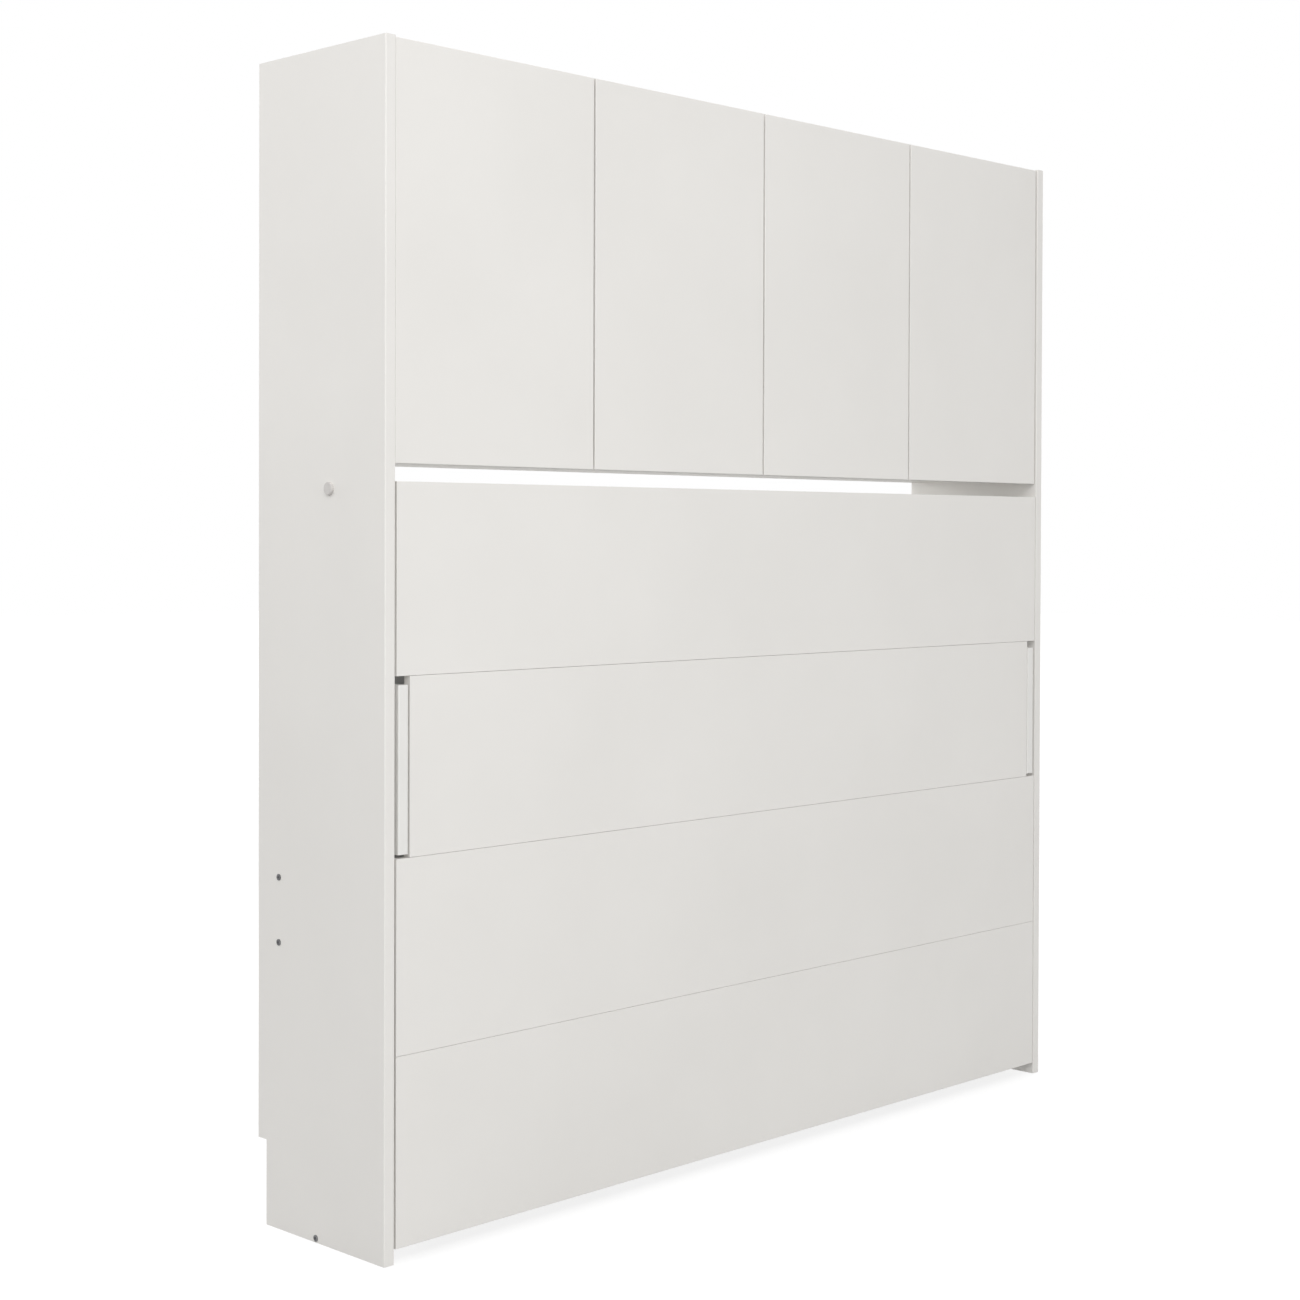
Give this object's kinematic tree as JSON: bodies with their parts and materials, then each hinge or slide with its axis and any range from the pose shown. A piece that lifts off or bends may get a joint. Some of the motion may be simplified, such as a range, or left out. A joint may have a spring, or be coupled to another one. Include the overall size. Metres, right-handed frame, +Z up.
{
  "type": "wall bed",
  "caption": "White sideways wall bed: the panelled front tips down on pivots with gas struts and swing-out legs, below a cupboard with hinged doors.",
  "frame": {"origin": "on the floor, under the middle of the case's width and depth", "axes": "+Z up, +Y from the bed front towards the wall, +X to the right seen from the room"},
  "size_m": [2.212, 0.412, 2.38],
  "materials": {
    "white_board": "matte white melamine-faced board",
    "back_board": "thin white-faced hardboard",
    "slat_wood": "bare laminated beech",
    "frame_steel": "grey powder coat",
    "white_steel": "white powder coat",
    "zinc_steel": "bright zinc plate",
    "strut_black": "satin black enamel",
    "rod_chrome": "polished chrome plate",
    "bolt_steel": "dark zinc plate",
    "cap_plastic": "pale grey moulded plastic",
    "white_plastic": "white moulded plastic",
    "black_plastic": "black moulded plastic",
    "rubber": "black soft rubber",
    "mattress_fabric": "quilted off-white ticking",
    "strap_webbing": "woven black webbing"
  },
  "bodies": {
    "cabinet": {"side_panel_left": "white_board", "side_panel_right": "white_board", "top_panel": "white_board", "cupboard_floor": "white_board", "centre_partition": "white_board", "shelves": "white_board", "shelf_pins": "zinc_steel", "back_panel": "back_board", "wall_rails": "white_board", "floor_rail": "white_board", "rear_stretcher": "white_board", "hole_plugs": "cap_plastic", "hinge_plates": "zinc_steel", "hinge_arms": "zinc_steel", "hinge_pins": "zinc_steel", "door_bumpers": "rubber", "cam_fittings": "zinc_steel", "side_bolts": "bolt_steel", "pivot_brackets": "zinc_steel", "strut_brackets": "zinc_steel", "bracket_screws": "zinc_steel", "closing_stops": "white_board", "stop_buffers": "rubber"},
    "bed": {"front_board_1": "white_board", "front_board_2": "white_board", "front_board_3": "white_board", "front_board_4": "white_board", "frame_rail_lower": "frame_steel", "frame_rail_upper": "frame_steel", "frame_end_left": "frame_steel", "frame_end_right": "frame_steel", "frame_centre_rail": "frame_steel", "frame_ties": "frame_steel", "frame_caps": "black_plastic", "slats": "slat_wood", "guard_sides": "white_board", "guard_ends": "white_board", "mattress": "mattress_fabric", "mattress_straps": "strap_webbing", "strap_buckles": "black_plastic", "swing_plates": "zinc_steel", "pivot_bushes": "white_plastic", "leg_pins": "zinc_steel", "board_screws": "zinc_steel"},
    "leg_left": {"leg_left": "white_steel", "leg_foot_left": "white_plastic"},
    "strut_tube_left": {"strut_tube_left": "strut_black"},
    "strut_rod_left": {"strut_rod_left": "rod_chrome"},
    "leg_right": {"leg_right": "white_steel", "leg_foot_right": "white_plastic"},
    "strut_tube_right": {"strut_tube_right": "strut_black"},
    "strut_rod_right": {"strut_rod_right": "rod_chrome"},
    "door_1": {"door_1": "white_board", "door_1_hinge_cups": "zinc_steel"},
    "door_2": {"door_2": "white_board", "door_2_hinge_cups": "zinc_steel"},
    "door_3": {"door_3": "white_board", "door_3_hinge_cups": "zinc_steel"},
    "door_4": {"door_4": "white_board", "door_4_hinge_cups": "zinc_steel"}
  },
  "joints": [
    {"name": "bed_tilt", "type": "hinge", "parent": "cabinet", "child": "bed", "pos_m": [0, -0.16, 0.334], "axis": [1, 0, 0], "range_deg": [0, 90]},
    {"name": "leg_left_swing", "type": "hinge", "parent": "bed", "child": "leg_left", "pos_m": [-1.054, -0.179, 1.1104], "axis": [1, 0, 0], "range_deg": [-90, 0]},
    {"name": "strut_left_swing", "type": "hinge", "parent": "cabinet", "child": "strut_tube_left", "pos_m": [-1.053, 0.07, 0.614], "axis": [1, 0, 0], "range_deg": [-1.7, 0]},
    {"name": "strut_left_stroke", "type": "slide", "parent": "strut_tube_left", "child": "strut_rod_left", "axis": [0, -0.4286, -0.9035], "range_m": [-0.168, 0]},
    {"name": "leg_right_swing", "type": "hinge", "parent": "bed", "child": "leg_right", "pos_m": [1.054, -0.179, 1.1104], "axis": [1, 0, 0], "range_deg": [-90, 0]},
    {"name": "strut_right_swing", "type": "hinge", "parent": "cabinet", "child": "strut_tube_right", "pos_m": [1.053, 0.07, 0.614], "axis": [1, 0, 0], "range_deg": [-1.7, 0]},
    {"name": "strut_right_stroke", "type": "slide", "parent": "strut_tube_right", "child": "strut_rod_right", "axis": [0, -0.4286, -0.9035], "range_m": [-0.168, 0]},
    {"name": "door_1_swing", "type": "hinge", "parent": "cabinet", "child": "door_1", "pos_m": [-1.0615, -0.1945, 1.9665], "axis": [0, 0, -1], "range_deg": [0, 90]},
    {"name": "door_2_swing", "type": "hinge", "parent": "cabinet", "child": "door_2", "pos_m": [-0.01325, -0.1945, 1.9665], "axis": [0, 0, 1], "range_deg": [0, 90]},
    {"name": "door_3_swing", "type": "hinge", "parent": "cabinet", "child": "door_3", "pos_m": [0.01325, -0.1945, 1.9665], "axis": [0, 0, -1], "range_deg": [0, 90]},
    {"name": "door_4_swing", "type": "hinge", "parent": "cabinet", "child": "door_4", "pos_m": [1.0615, -0.1945, 1.9665], "axis": [0, 0, 1], "range_deg": [0, 90]}
  ],
  "couplings": [
    {"joint": "leg_left_swing", "follows": "bed_tilt", "ratio": -1},
    {"joint": "strut_left_swing", "follows": "bed_tilt", "ratio": -0.018606},
    {"joint": "strut_left_stroke", "follows": "bed_tilt", "m_per_rad": -0.10678},
    {"joint": "leg_right_swing", "follows": "bed_tilt", "ratio": -1},
    {"joint": "strut_right_swing", "follows": "bed_tilt", "ratio": -0.018606},
    {"joint": "strut_right_stroke", "follows": "bed_tilt", "m_per_rad": -0.10678}
  ]
}
